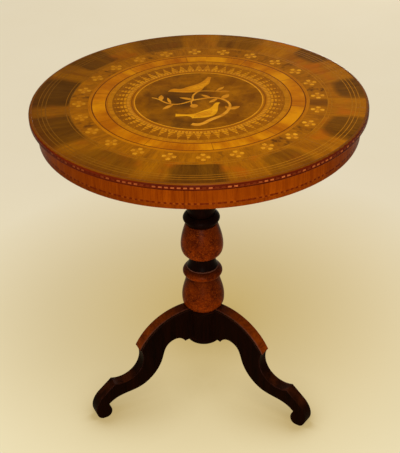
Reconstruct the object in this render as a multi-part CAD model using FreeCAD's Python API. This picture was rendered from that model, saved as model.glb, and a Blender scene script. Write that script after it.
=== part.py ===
import FreeCAD, Part
import math
import os

# Tripod wine table with a tilting marquetry top, in millimetres.
# The origin is on the floor under the column, +Z is up and -Y is the front, between two legs.

# Top, rim and apron
table_height = 700.0
top_radius = 325.0
veneer_thickness = 1.5
board_thickness = 10.0
board_joint = 106.0
rim_width = 6.0
rim_rounding = 4.0
chequer_depth = 1.2
rim_chequer_width = 3.2
rim_chequer_drop = 5.0
apron_height = 44.5
apron_setback = 14.0
apron_wall = 14.5
apron_segments = 16
apron_chequer_width = 3.5
apron_chequer_rise = 8.5
glue_block_size = 13.0
glue_block_length = 52.0
glue_block_count = 8

# Marquetry, from the centre outwards; the roundel takes what the borders leave
roundel_line = 2.5
inner_fillet = 3.0
inner_dark_line = 2.0
middle_fillet = 2.5
bead_ring_width = 6.5
spike_band = 27.0
spike_base = 14.0
spike_gap = 2.0
spike_foot_gap = 0.6
spike_tip_gap = 1.4
spike_phase = 4.4
light_ring_width = 8.5
outer_fillet = 3.0
dark_line = 2.0
amber_band_width = 25.0
amber_segments = 10
amber_phase = 12.0
flower_fillet = 6.5
flower_band = 34.0
flower_count = 24
flower_phase = 6.6
flower_centre_radius = 2.6
petal_start = 4.4
petal_length = 9.4
petal_width = 9.4
border_line = 1.5
border_strip = 5.5
leaf_band = 64.0
leaf_count = 11
leaf_phase = 20.3
fine_line_width = 1.6
fine_line_depth = 0.8
fine_line_insets = (11.5, 19.0, 26.5)
picture_turn = 5.3

# Tilt hinge, bearers and catch
pivot_setback = 80.0
pivot_drop = 14.5
hinge_gap = 0.3
block_thickness = 30.0
block_width = 140.0
block_back = 75.0
pin_radius = 6.0
pin_clearance = 0.05
pin_grip = 18.0
bearer_gap = 0.5
bearer_thickness = 22.0
bearer_height = 29.0
bearer_end_gap = 50.0
bearer_end_height = 11.0
bearer_end_taper = 45.0
bearer_screw_spacing = 150.0
screw_radius = 2.2
screw_head_radius = 4.2
screw_head_height = 3.0
screw_sink = 9.0
screw_bite = 6.5
bolt_radius = 4.0
bolt_clearance = 0.08
bolt_length = 56.0
bolt_drop = 9.5
bolt_travel = 10.0
bolt_rest_gap = 4.0
catch_plate_thickness = 2.0
catch_plate_width = 34.0
guide_width = 16.0
guide_length = 8.0
guide_wall = 2.0
guide_spacing = 34.0
guide_setback = 7.0
knob_radius = 5.0
knob_stem_radius = 2.2
knob_drop = 15.0
keeper_width = 28.0
keeper_height = 18.0
keeper_thickness = 1.6
keeper_clearance = 0.4

# Column, from the floor upwards
boss_height_above_floor = 131.0
boss_height = 11.0
boss_radius = 38.5
boss_spigot = 8.0
drum_height = 73.5
drum_radius = 36.0
drum_bead_radius = 39.5
drum_bead_height = 8.0
lower_bulb_height = 82.5
lower_bulb_radius = 44.8
mid_ring_height = 20.5
mid_ring_radius = 41.9
cove_height = 28.0
cove_radius = 27.5
upper_bulb_height = 77.5
upper_bulb_radius = 44.3
collar_height = 23.0
collar_radius = 38.3
baluster_radius = 35.5
capital_height = 32.0
capital_radius = 46.0
spindle_radius = 9.0
wedge_thickness = 3.0
wedge_depth = 24.0

# Legs
leg_angles = {"right": 60.0, "left": -60.0, "back": 180.0}
leg_thickness = 26.0
foot_reach = 246.5
ankle_reach = 218.5
ankle_height = 82.5
ankle_hollow = 24.8
knee_centre_reach = 36.0
knee_centre_height = 85.0
knee_radius = 137.4
knee_tip_angle = 28.8
cap_thickness = 3.5
tongue_depth = 9.0
tongue_neck = 12.0
tongue_root = 16.0
tongue_stop = 12.0

# Heights and radii that follow from the sizes above
board_top = table_height - veneer_thickness
board_bottom = board_top - board_thickness
field_radius = top_radius - rim_width
apron_radius = top_radius - apron_setback
apron_core_radius = apron_radius - veneer_thickness
apron_inner_radius = apron_core_radius - apron_wall
apron_bottom = board_bottom - apron_height
pivot_height = board_bottom - pivot_drop
block_top = board_bottom - hinge_gap
block_bottom = block_top - block_thickness
block_round = pivot_drop - hinge_gap
bolt_height = board_bottom - bolt_drop
drum_bottom = boss_height_above_floor + boss_height
drum_top = drum_bottom + drum_height
lower_bulb_top = drum_top + lower_bulb_height
mid_ring_top = lower_bulb_top + mid_ring_height
cove_top = mid_ring_top + cove_height
upper_bulb_top = cove_top + upper_bulb_height
collar_top = upper_bulb_top + collar_height
capital_bottom = block_bottom - capital_height

os.makedirs("parts", exist_ok=True)


def V(x, y, z=0.0):
    return FreeCAD.Vector(x, y, z)


def save(name, *shapes):
    solids = [solid for shape in shapes for solid in shape.Solids]
    whole = solids[0] if len(solids) == 1 else Part.makeCompound(solids)
    whole.exportStep("parts/" + name + ".step")


def box(x0, x1, y0, y1, z0, z1):
    return Part.makeBox(x1 - x0, y1 - y0, z1 - z0, V(x0, y0, z0))


def cylinder(radius, bottom, top, x=0.0, y=0.0):
    return Part.makeCylinder(radius, top - bottom, V(x, y, bottom))


def stroke(points):
    """A straight edge through two points, or a smooth curve through more."""
    if len(points) == 2:
        return Part.makeLine(points[0], points[1])
    curve = Part.BSplineCurve()
    curve.interpolate(points)
    return curve.toShape()


def bow(start, end, rise):
    """An arc in the XZ plane that swells by rise to the left of the way from start to end."""
    chord = end - start
    left = V(-chord.z, 0.0, chord.x) * (rise / chord.Length)
    return Part.Arc(start, (start + end) * 0.5 + left, end).toShape()


def outline(edges):
    """A face inside edges that meet end to end, given as edges or as lists of points."""
    shapes = [stroke(edge) if isinstance(edge, list) else edge for edge in edges]
    return Part.Face(Part.Wire(shapes))


def swept(profile, start=0.0, turn=360.0):
    """A closed (radius, height) profile swept round the column axis, from start degrees right of the front."""
    corners = [V(radius, 0.0, height) for radius, height in profile]
    face = Part.Face(Part.makePolygon(corners + corners[:1]))
    face.rotate(V(0, 0), V(0, 0, 1), start - 90.0)
    return face.revolve(V(0, 0), V(0, 0, 1), turn)


def ring(inner, outer, bottom, top, start=0.0, turn=360.0):
    return swept([(inner, bottom), (outer, bottom), (outer, top), (inner, top)], start, turn)


def turned(side):
    """A turned piece on the spindle; side is its (radius, height) curve from bottom to top."""
    curve = [V(radius, 0.0, height) for radius, height in side]
    foot = V(spindle_radius, 0.0, curve[0].z)
    head = V(spindle_radius, 0.0, curve[-1].z)
    face = outline([[foot, curve[0]], curve, [curve[-1], head], [head, foot]])
    return face.revolve(V(0, 0), V(0, 0, 1), 360.0)


def around(shape, degrees):
    """A copy turned about the column axis; positive turns the front towards the right."""
    copy = shape.copy()
    copy.rotate(V(0, 0), V(0, 0, 1), degrees)
    return copy


# Core boards, edge glued, with the grain running left to right and the bearers across it
disc = cylinder(field_radius, board_bottom, board_top)
strips = {
    "board_front": box(-top_radius, top_radius, -top_radius, -board_joint, board_bottom, board_top),
    "board_middle": box(-top_radius, top_radius, -board_joint, board_joint, board_bottom, board_top),
    "board_back": box(-top_radius, top_radius, board_joint, top_radius, board_bottom, board_top),
}
boards = {name: disc.common(strip) for name, strip in strips.items()}

# Rim lipping with a rounded upper edge, and the chequered line let into its side
rim_line_top = table_height - rim_chequer_drop
rim_line_bottom = rim_line_top - rim_chequer_width
rim_line_inner = top_radius - chequer_depth
rim = ring(field_radius, top_radius, board_bottom, table_height)
upper_edges = [edge for edge in rim.Edges
               if edge.BoundBox.ZMin > table_height - 0.01 and edge.BoundBox.XMax > top_radius - 0.01]
rim = rim.makeFillet(rim_rounding, upper_edges)
rim_chequer = ring(rim_line_inner, top_radius, rim_line_bottom, rim_line_top)
save("rim_lipping", rim.cut(rim_chequer))
save("rim_chequer", rim_chequer)

# Apron: curved segments butted end to end, a cross-grained veneer, and a chequered line near the lower edge
segment_turn = 360.0 / apron_segments
save("apron_core", *[ring(apron_inner_radius, apron_core_radius, apron_bottom, board_bottom,
                          number * segment_turn, segment_turn) for number in range(apron_segments)])
apron_line_bottom = apron_bottom + apron_chequer_rise
apron_line_top = apron_line_bottom + apron_chequer_width
apron_line_inner = apron_radius - chequer_depth
save("apron_veneer", swept([
    (apron_core_radius, apron_bottom), (apron_radius, apron_bottom),
    (apron_radius, apron_line_bottom), (apron_line_inner, apron_line_bottom),
    (apron_line_inner, apron_line_top), (apron_radius, apron_line_top),
    (apron_radius, board_bottom), (apron_core_radius, board_bottom)]))
save("apron_chequer", ring(apron_line_inner, apron_radius, apron_line_bottom, apron_line_top))

# Glue blocks rubbed into the corner between the apron and the boards
apron_inside = cylinder(apron_inner_radius, apron_bottom, board_bottom)
corner = [V(apron_inner_radius - glue_block_size, 0.0, board_bottom),
          V(apron_inner_radius + glue_block_size, 0.0, board_bottom),
          V(apron_inner_radius + glue_block_size, 0.0, board_bottom - glue_block_size),
          V(apron_inner_radius - 2.0, 0.0, board_bottom - glue_block_size)]
wedge_face = Part.Face(Part.makePolygon(corner + corner[:1]))
wedge_face.translate(V(0.0, -glue_block_length / 2.0))
glue_block = wedge_face.extrude(V(0.0, glue_block_length)).common(apron_inside)
glue_turn = 360.0 / glue_block_count
save("glue_blocks", *[around(glue_block, (number + 0.5) * glue_turn) for number in range(glue_block_count)])

# Marquetry ring borders, laid from the rim inwards, each ending where the one outside it starts
second_border_out = field_radius - leaf_band
border_strip_out = second_border_out - border_line
first_border_out = border_strip_out - border_strip
flowers_out = first_border_out - border_line
flower_fillet_out = flowers_out - flower_band
second_dark_out = flower_fillet_out - flower_fillet
amber_out = second_dark_out - dark_line
dark_line_out = amber_out - amber_band_width
outer_fillet_out = dark_line_out - dark_line
light_ring_out = outer_fillet_out - outer_fillet
spikes_out = light_ring_out - light_ring_width
bead_out = spikes_out - spike_band
middle_fillet_out = bead_out - bead_ring_width
inner_dark_out = middle_fillet_out - middle_fillet
inner_fillet_out = inner_dark_out - inner_dark_line
roundel_line_out = inner_fillet_out - inner_fillet
roundel_radius = roundel_line_out - roundel_line


def veneer_ring(inner, outer, start=0.0, turn=360.0):
    return ring(inner, outer, board_top, table_height, start, turn)


def veneer(face):
    """A veneer cut to a face drawn at the level of the boards' upper side."""
    return face.extrude(V(0, 0, veneer_thickness))


save("roundel_line", veneer_ring(roundel_radius, roundel_line_out))
save("amber_fillets", veneer_ring(roundel_line_out, inner_fillet_out),
     veneer_ring(inner_dark_out, middle_fillet_out), veneer_ring(light_ring_out, outer_fillet_out),
     veneer_ring(second_dark_out, flower_fillet_out))
save("dark_lines", veneer_ring(inner_fillet_out, inner_dark_out),
     veneer_ring(outer_fillet_out, dark_line_out), veneer_ring(amber_out, second_dark_out))
save("bead_ring", veneer_ring(middle_fillet_out, bead_out))
save("light_ring", veneer_ring(spikes_out, light_ring_out))
save("border_lines", veneer_ring(flowers_out, first_border_out),
     veneer_ring(border_strip_out, second_border_out))
save("border_strip", veneer_ring(first_border_out, border_strip_out))
amber_turn = 360.0 / amber_segments
save("amber_band", *[veneer_ring(dark_line_out, amber_out, amber_phase + number * amber_turn, amber_turn)
                     for number in range(amber_segments)])

# Outer band: leaves of heartwood with sapwood edges, and three fine lines let into grooves across them
grooved = [(second_border_out, board_top), (field_radius, board_top), (field_radius, table_height)]
groove_floor = table_height - fine_line_depth
fine_lines = []
for inset in fine_line_insets:
    radius = field_radius - inset
    line_in = radius - fine_line_width / 2.0
    line_out = radius + fine_line_width / 2.0
    grooved += [(line_out, table_height), (line_out, groove_floor),
                (line_in, groove_floor), (line_in, table_height)]
    fine_lines.append(ring(line_in, line_out, groove_floor, table_height))
grooved.append((second_border_out, table_height))
leaf_turn = 360.0 / leaf_count
save("outer_leaves", *[swept(grooved, leaf_phase + number * leaf_turn, leaf_turn)
                       for number in range(leaf_count)])
save("fine_lines", *fine_lines)

# Vandyke band: as many pale spikes as fit side by side on the bead ring, let into a dark ground
spike_foot = bead_out + spike_foot_gap
spike_length = spikes_out - spike_tip_gap - spike_foot
spike_count = int(math.tau * spike_foot / (spike_base + spike_gap))
spike_corners = [V(-spike_base / 2.0, 0.0), V(spike_base / 2.0, 0.0), V(0.0, spike_length)]
spike = veneer(Part.Face(Part.makePolygon(spike_corners + spike_corners[:1])))
spike.translate(V(0.0, spike_foot, board_top))
spikes = [around(spike, spike_phase + number * 360.0 / spike_count) for number in range(spike_count)]
save("spike_inlay", *spikes)
save("spike_ground", veneer_ring(bead_out, spikes_out).cut(Part.makeCompound(spikes)))

# Flower band: four rounded petals, notched at the end, round a small centre, let into a brown ground
flower_reach = (flower_fillet_out + flowers_out) / 2.0
petal_side = [(0.68, 0.22), (1.0, 0.56), (0.68, 0.92)]
petal_rim = [V(across * petal_width / 2.0, petal_start + along * petal_length) for across, along in petal_side]
petal_corners = [V(0.0, petal_start)] + petal_rim + [V(0.0, petal_start + petal_length * 0.9)]
petal_corners += [V(-corner.x, corner.y) for corner in petal_rim[::-1]]
petal_face = Part.Face(Part.makePolygon(petal_corners + petal_corners[:1]))
centre_corners = [around(Part.Vertex(0.0, flower_centre_radius, 0.0), place * 45.0).Point for place in range(8)]
centre_face = Part.Face(Part.makePolygon(centre_corners + centre_corners[:1]))
petals = []
centres = []
for number in range(flower_count):
    flower_turn = flower_phase + number * 360.0 / flower_count
    centre = veneer(centre_face)
    for place in range(4):
        petal = veneer(around(petal_face, place * 90.0))
        petal.translate(V(0.0, flower_reach, board_top))
        petals.append(around(petal, flower_turn))
    centre.translate(V(0.0, flower_reach, board_top))
    centres.append(around(centre, flower_turn))
save("flower_petals", *petals)
save("flower_centres", *centres)
save("flower_ground", veneer_ring(flower_fillet_out, flowers_out).cut(Part.makeCompound(petals + centres)))


def leaf(base, tip, width):
    """A pointed leaf between two points of the picture."""
    along = tip - base
    across = V(-along.y, along.x) * (width / 2.0 / along.Length)
    middle = (base + tip) * 0.5
    return outline([Part.Arc(base, middle + across, tip).toShape(),
                    Part.Arc(tip, middle - across, base).toShape()])


def stem(places):
    """A branch along (x, y, width) places of the picture."""
    points = [V(x, y) for x, y, width in places]
    curve = Part.BSplineCurve()
    curve.interpolate(points)
    left = []
    right = []
    for point, (x, y, width) in zip(points, places):
        way = curve.tangent(curve.parameter(point))[0]
        aside = V(-way.y, way.x) * (width / 2.0)
        left.append(point + aside)
        right.append(point - aside)
    return outline([left, [left[-1], right[-1]], right[::-1], [right[0], left[0]]])


# Roundel picture: two birds on a flowering branch, x to the right and y upwards from the centre.
# It is drawn for a roundel of radius 122 and enlarged or reduced to the roundel that it is laid in.
picture_scale = roundel_radius / 122.0
upper_bird = outline([
    [V(-59, 39), V(-54, 48), V(-46, 52), V(-37, 50), V(-25, 56), V(-9, 66), V(3, 75), V(12, 87), V(20, 104)],
    [V(20, 104), V(27, 101)],
    [V(27, 101), V(24, 84), V(20, 68), V(13, 58), V(8, 46), V(0, 37), V(-13, 33), V(-31, 34), V(-47, 37)],
    [V(-47, 37), V(-59, 39)]])
lower_bird = outline([
    [V(41, -15), V(34, -14), V(29, -21), V(24, -33), V(16, -42), V(4, -50), V(-6, -58), V(-18, -61), V(-44, -57)],
    [V(-44, -57), V(-44, -69)],
    [V(-44, -69), V(-30, -68), V(-20, -69), V(-13, -78)],
    [V(-13, -78), V(0, -77), V(14, -75), V(26, -69), V(33, -58), V(36, -43), V(37, -28), V(41, -15)]])
upper_wing = outline([
    [V(-24, 49), V(-8, 59), V(6, 69), V(21, 85)],
    [V(21, 85), V(17, 68), V(10, 57), V(2, 47), V(-10, 42), V(-24, 49)]])
lower_wing = outline([
    [V(25, -43), V(10, -52), V(-3, -61), V(-9, -75)],
    [V(-9, -75), V(3, -73), V(14, -69), V(23, -59), V(25, -43)]])
stems = [
    stem([(-14, -101, 9.5), (2, -103, 9.5), (20, -87, 9.0), (44, -67, 7.5), (56, -45, 6.5), (59, -22, 5.0),
          (46, 0, 5.0), (26, 8, 5.0), (6, 4, 5.0), (-11, -2, 4.5), (-26, -12, 4.0), (-48, -17, 4.0),
          (-64, -8, 3.4), (-73, 2, 3.0), (-90, 14, 2.4)]),
    stem([(-10, 0, 4.0), (-11, 14, 4.0), (-8, 25, 4.0), (4, 40, 4.0)]),
    stem([(2, 38, 2.6), (20, 38, 2.6), (34, 36, 2.4), (46, 34, 2.2)]),
    stem([(-11, -2, 2.8), (-14, -10, 2.6), (-12, -21, 2.4)]),
]
leaves = [
    leaf(V(34, 36), V(51, 56), 7.5), leaf(V(40, 35), V(62, 34), 6.5), leaf(V(44, 2), V(59, 21), 12.0),
    leaf(V(24, 8), V(5, 22), 7.0), leaf(V(37, 5), V(20, -14), 8.5), leaf(V(56, -44), V(78, -33), 11.5),
    leaf(V(57, -44), V(50, -30), 6.5), leaf(V(-10, 1), V(-37, 12), 8.0), leaf(V(-48, -17), V(-69, -38), 9.0),
    leaf(V(-53, -15), V(-60, 13), 6.0), leaf(V(-72, 1), V(-72, 24), 10.0),
]
blossoms = [Part.Face(Part.Wire(Part.makeCircle(7.6, V(-9, -26))))]


def fitted(face):
    """A face of the drawing, at the size of the roundel."""
    copy = face.copy()
    copy.scale(picture_scale)
    return copy


def joined(faces):
    pieces = [around(veneer(fitted(face)), picture_turn) for face in faces]
    whole = pieces[0].multiFuse(pieces[1:]) if len(pieces) > 1 else pieces[0]
    whole.translate(V(0, 0, board_top))
    return whole


# Each piece of the picture is cut to fit round the pieces that lie over it
wing_inlay = joined([upper_wing, lower_wing])
bird_inlays = {"upper_bird": joined([upper_bird]).cut(wing_inlay),
               "lower_bird": joined([lower_bird]).cut(wing_inlay)}
birds = Part.makeCompound([wing_inlay] + list(bird_inlays.values()))
stem_inlay = joined(stems).cut(birds)
leaf_inlay = joined(leaves + blossoms).cut(birds).cut(stem_inlay)
picture = joined([upper_wing, lower_wing, upper_bird, lower_bird] + stems + leaves + blossoms).removeSplitter()
ground = cylinder(roundel_radius, board_top, table_height).cut(picture)
save("bird_wings", wing_inlay)
for name, inlay in bird_inlays.items():
    save(name, inlay)
save("branch_inlay", stem_inlay)
save("leaf_inlay", leaf_inlay)
save("roundel_ground", ground)

# Bearers under the boards, tapered at the ends and bored for the pivot pins, with their screws
bearer_bottom = board_bottom - bearer_height
bearer_inside = block_width / 2.0 + bearer_gap
bearer_outside = bearer_inside + bearer_thickness
bearer_half = math.sqrt(apron_inner_radius ** 2 - bearer_outside ** 2) - bearer_end_gap
bearer_profile = [V(0, -bearer_half, board_bottom), V(0, bearer_half, board_bottom),
                  V(0, bearer_half, board_bottom - bearer_end_height),
                  V(0, bearer_half - bearer_end_taper, bearer_bottom),
                  V(0, -bearer_half + bearer_end_taper, bearer_bottom),
                  V(0, -bearer_half, board_bottom - bearer_end_height)]
bearer_face = Part.Face(Part.makePolygon(bearer_profile + bearer_profile[:1]))
screw_seat = bearer_bottom + screw_sink
screws = []
for side in (-1, 1):
    middle = side * (bearer_inside + bearer_thickness / 2.0)
    bearer = bearer_face.extrude(V(side * bearer_thickness, 0, 0))
    bearer.translate(V(side * bearer_inside, 0, 0))
    bore = Part.makeCylinder(pin_radius + pin_clearance, bearer_thickness + 2.0,
                             V(middle - bearer_thickness / 2.0 - 1.0, -pivot_setback, pivot_height), V(1, 0, 0))
    bearer = bearer.cut(bore)
    for place in (-bearer_screw_spacing, 0.0, bearer_screw_spacing):
        shank = cylinder(screw_radius, screw_seat, board_bottom + screw_bite, middle, place)
        head = cylinder(screw_head_radius, screw_seat - screw_head_height, screw_seat, middle, place)
        access = cylinder(screw_head_radius, bearer_bottom, screw_seat, middle, place)
        screws.append(shank.fuse(head).removeSplitter())
        bearer = bearer.cut(access.fuse(shank))
    save("bearer_right" if side > 0 else "bearer_left", bearer)
save("bearer_screws", *screws)

# Catch plate with two guides under the boards; its bolt is drawn back at rest and slides forward to lock
bolt_nose = block_back + bolt_rest_gap
guide_front = block_back + guide_setback
guide_back = guide_front + guide_spacing
plate_bottom = board_bottom - catch_plate_thickness
plate = box(-catch_plate_width / 2.0, catch_plate_width / 2.0, guide_front,
            guide_back + guide_length, plate_bottom, board_bottom)
for front in (guide_front, guide_back):
    plate = plate.fuse(box(-guide_width / 2.0, guide_width / 2.0, front, front + guide_length,
                           bolt_height - bolt_radius - guide_wall, plate_bottom))
plate = plate.removeSplitter().cut(Part.makeCylinder(
    bolt_radius + bolt_clearance, guide_spacing + 2.0 * guide_length,
    V(0, guide_front - guide_length / 2.0, bolt_height), V(0, 1, 0)))
plate_screws = []
screw_reach = (catch_plate_width + guide_width) / 4.0
for x in (-screw_reach, screw_reach):
    for y in (guide_front + guide_length / 2.0, guide_back + guide_length / 2.0):
        countersink = Part.makeCone(screw_head_radius * 0.7, screw_radius * 0.7, catch_plate_thickness,
                                    V(x, y, plate_bottom))
        shank = cylinder(screw_radius * 0.7, board_bottom, board_bottom + screw_bite, x, y)
        plate_screws.append(countersink.fuse(shank).removeSplitter())
save("catch_plate", plate.cut(Part.makeCompound(plate_screws)))
save("catch_screws", *plate_screws)
for name, board in boards.items():
    save(name, board.cut(Part.makeCompound(screws + plate_screws)))

knob_place = guide_front + guide_length + bolt_travel + knob_stem_radius + 2.0
knob_centre = bolt_height - knob_drop
knob = cylinder(knob_stem_radius, knob_centre, bolt_height, 0.0, knob_place).fuse(
    Part.makeSphere(knob_radius, V(0, knob_place, knob_centre)))
bolt = Part.makeCylinder(bolt_radius, bolt_length, V(0, bolt_nose, bolt_height), V(0, 1, 0))
nose_edges = [edge for edge in bolt.Edges if edge.BoundBox.YMax < bolt_nose + 0.01]
bolt = bolt.makeChamfer(bolt_radius * 0.3, nose_edges)
save("catch_bolt", bolt.cut(knob))
save("bolt_knob", knob.removeSplitter())

# Hinge block on the column: its upper front edge is rounded about the pivot so that the top can swing past
half_width = block_width / 2.0
front = -pivot_setback - block_round
lean = block_round * math.sqrt(0.5)
corners = [V(-half_width, -pivot_setback, block_top), V(-half_width, front, pivot_height),
           V(-half_width, front, block_bottom), V(-half_width, block_back, block_bottom),
           V(-half_width, block_back, block_top)]
nose_arc = Part.Arc(corners[0], V(-half_width, -pivot_setback - lean, pivot_height + lean), corners[1]).toShape()
block_face = outline([nose_arc, [corners[1], corners[2]], [corners[2], corners[3]],
                      [corners[3], corners[4]], [corners[4], corners[0]]])
block = block_face.extrude(V(block_width, 0, 0))
spindle_bore = cylinder(spindle_radius, block_bottom, block_top)
bolt_hole = Part.makeCylinder(bolt_radius + keeper_clearance, bolt_travel + 4.0,
                              V(0, block_back - bolt_travel - 4.0, bolt_height), V(0, 1, 0))
keeper_recess = box(-keeper_width / 2.0, keeper_width / 2.0, block_back - keeper_thickness, block_back,
                    bolt_height - keeper_height / 2.0, bolt_height + keeper_height / 2.0)
pins = []
for side in (-1, 1):
    start = side * (half_width - pin_grip)
    pins.append(Part.makeCylinder(pin_radius, pin_grip + bearer_gap + bearer_thickness,
                                  V(start, -pivot_setback, pivot_height), V(side, 0, 0)))
save("hinge_block", block.cut(Part.makeCompound([spindle_bore, bolt_hole, keeper_recess] + pins)))
save("pivot_pins", *pins)
save("keeper_plate", keeper_recess.cut(bolt_hole))

# Turned column pieces, strung on a spindle that is wedged in the block
lower_bulb = turned([(34.0, drum_top), (37.0, drum_top + 4.0), (42.0, drum_top + 9.5),
                     (lower_bulb_radius, drum_top + 20.0),
                     (lower_bulb_radius - 1.0, drum_top + lower_bulb_height * 0.49),
                     (lower_bulb_radius - 6.2, drum_top + lower_bulb_height * 0.735),
                     (34.5, lower_bulb_top)])
save("lower_bulb", lower_bulb)
save("mid_ring", turned([(34.5, lower_bulb_top), (mid_ring_radius - 0.9, lower_bulb_top + 3.5),
                         (mid_ring_radius, lower_bulb_top + 7.0),
                         (mid_ring_radius - 4.5, mid_ring_top - 4.5), (32.5, mid_ring_top)]))
save("cove_neck", turned([(32.5, mid_ring_top), (cove_radius + 1.8, mid_ring_top + 7.5),
                          (cove_radius, mid_ring_top + 17.0), (cove_radius + 0.5, cove_top)]))
save("upper_bulb", turned([(cove_radius + 0.5, cove_top), (40.5, cove_top + 7.0),
                           (upper_bulb_radius, cove_top + 20.0),
                           (upper_bulb_radius - 1.0, cove_top + upper_bulb_height * 0.5),
                           (upper_bulb_radius - 4.3, cove_top + upper_bulb_height * 0.7),
                           (33.0, upper_bulb_top)]))
save("upper_collar", turned([(31.0, upper_bulb_top), (collar_radius - 3.2, upper_bulb_top + 5.0),
                             (collar_radius, upper_bulb_top + collar_height / 2.0),
                             (collar_radius - 1.6, collar_top - 6.5), (30.0, collar_top)]))
baluster_height = capital_bottom - collar_top
save("upper_baluster", turned([(27.0, collar_top), (baluster_radius - 2.5, collar_top + baluster_height * 0.13),
                               (baluster_radius, collar_top + baluster_height * 0.32),
                               (baluster_radius - 4.5, collar_top + baluster_height * 0.63),
                               (25.0, capital_bottom - 12.0), (25.0, capital_bottom)]))
save("capital", turned([(27.0, capital_bottom), (31.0, capital_bottom + 4.0), (28.0, capital_bottom + 9.0),
                        (33.0, block_bottom - 12.0), (capital_radius, block_bottom - 4.0),
                        (capital_radius, block_bottom)]))
spindle_foot = drum_bottom + boss_spigot
wedge_corners = [V(-0.6, 0, block_top - wedge_depth), V(0.6, 0, block_top - wedge_depth),
                 V(wedge_thickness / 2.0, 0, block_top), V(-wedge_thickness / 2.0, 0, block_top)]
wedge_side = Part.Face(Part.makePolygon(wedge_corners + wedge_corners[:1]))
wedge_side.translate(V(0, -spindle_radius, 0))
spindle = cylinder(spindle_radius, spindle_foot, block_top)
wedge = wedge_side.extrude(V(0, 2.0 * spindle_radius, 0)).common(spindle)
save("spindle", spindle.cut(wedge))
save("spindle_wedge", wedge)

# Boss that closes the drum from below, its spigot glued in the drum's bore
boss_bottom = boss_height_above_floor
boss_curve = [V(boss_radius - 9.0, 0, boss_bottom), V(boss_radius - 1.5, 0, boss_bottom + 3.0),
              V(boss_radius, 0, boss_bottom + boss_height * 0.6), V(boss_radius - 2.5, 0, drum_bottom)]
boss_axis = [V(0, 0, spindle_foot), V(0, 0, boss_bottom)]
spigot = [V(spindle_radius, 0, drum_bottom), V(spindle_radius, 0, spindle_foot)]
boss_face = outline([[boss_axis[1], boss_curve[0]], boss_curve, [boss_curve[-1], spigot[0]], spigot,
                     [spigot[1], boss_axis[0]], boss_axis])
save("bottom_boss", boss_face.revolve(V(0, 0), V(0, 0, 1), 360.0))


def leg_outline(knee_curve_radius):
    """The leg's side, from the hub over the knee to the foot and back along the underside, along +X."""
    centre = V(knee_centre_reach, 0, knee_centre_height)

    def on_knee(degrees):
        angle = math.radians(degrees)
        return centre + V(math.cos(angle), 0, math.sin(angle)) * knee_curve_radius

    hub_inside = drum_radius * 0.8
    hub_angle = math.degrees(math.acos((hub_inside - knee_centre_reach) / knee_curve_radius))
    hub_top = on_knee(hub_angle)
    tip = on_knee(knee_tip_angle)
    step = V(tip.x - 3.0, 0, tip.z - 12.5)
    ankle = V(ankle_reach, 0, ankle_height)
    foot = V(foot_reach, 0, 0)
    cusp = V(drum_radius + 15.0, 0, drum_bottom - 1.0)
    hub_bottom = V(hub_inside, 0, drum_bottom)
    instep = foot + V(3.5, 0, 56)
    heel = foot + V(-10.5, 0, 33)
    knee = Part.Arc(hub_top, on_knee((hub_angle + knee_tip_angle) / 2.0), tip).toShape()
    return outline([
        knee, [tip, step], bow(step, ankle, -ankle_hollow), [ankle, instep],
        [instep, foot + V(15.5, 0, 38), foot + V(18.5, 0, 22), foot + V(13.5, 0, 6), foot + V(4.5, 0, 0)],
        [foot + V(4.5, 0, 0), foot + V(-4.5, 0, 0)],
        [foot + V(-4.5, 0, 0), foot + V(-13.5, 0, 5), foot + V(-17, 0, 14), foot + V(-15, 0, 25), heel],
        [heel, ankle + V(-14, 0, -34), step + V(10, 0, -81), step + V(-24, 0, -58.5), step + V(-44, 0, -25),
         step + V(-58, 0, 8), step + V(-76, 0, 17), cusp],
        [cusp, V(drum_radius + 7.0, 0, drum_bottom + 1.0), hub_bottom],
        [hub_bottom, hub_top]])


# Drum: a plain turned barrel with a bead round its upper end
bead_bottom = drum_top - drum_bead_height
bead_start = V(drum_radius, 0, bead_bottom)
bead_end = V(drum_radius, 0, drum_top)
bead_swell = V(drum_bead_radius, 0, drum_top - drum_bead_height / 2.0)
drum_foot = V(drum_radius, 0, drum_bottom)
drum_face = outline([[V(0, 0, drum_bottom), drum_foot], [drum_foot, bead_start],
                     Part.Arc(bead_start, bead_swell, bead_end).toShape(),
                     [bead_end, V(0, 0, drum_top)], [V(0, 0, drum_top), V(0, 0, drum_bottom)]])
drum_blank = drum_face.revolve(V(0, 0), V(0, 0, 1), 360.0)

# Legs: scribed to the drum and the bulb, each with a dovetail tongue that slides up into the drum
half_leg = leg_thickness / 2.0
leg_face = leg_outline(knee_radius - cap_thickness)
leg_face.translate(V(0, -half_leg, 0))
leg_blank = leg_face.extrude(V(0, leg_thickness, 0))
tongue_top = drum_top - tongue_stop
tongue_plan = [V(drum_radius + 3.0, -tongue_neck / 2.0, drum_bottom),
               V(drum_radius + 3.0, tongue_neck / 2.0, drum_bottom),
               V(drum_radius - tongue_depth, tongue_root / 2.0, drum_bottom),
               V(drum_radius - tongue_depth, -tongue_root / 2.0, drum_bottom)]
tongue = Part.Face(Part.makePolygon(tongue_plan + tongue_plan[:1])).extrude(V(0, 0, tongue_top - drum_bottom))
under_bulb = cylinder(drum_radius, drum_bottom - leg_thickness, drum_top + leg_thickness)
leg = leg_blank.cut(under_bulb).cut(drum_blank).cut(lower_bulb).fuse(tongue).removeSplitter()

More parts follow.
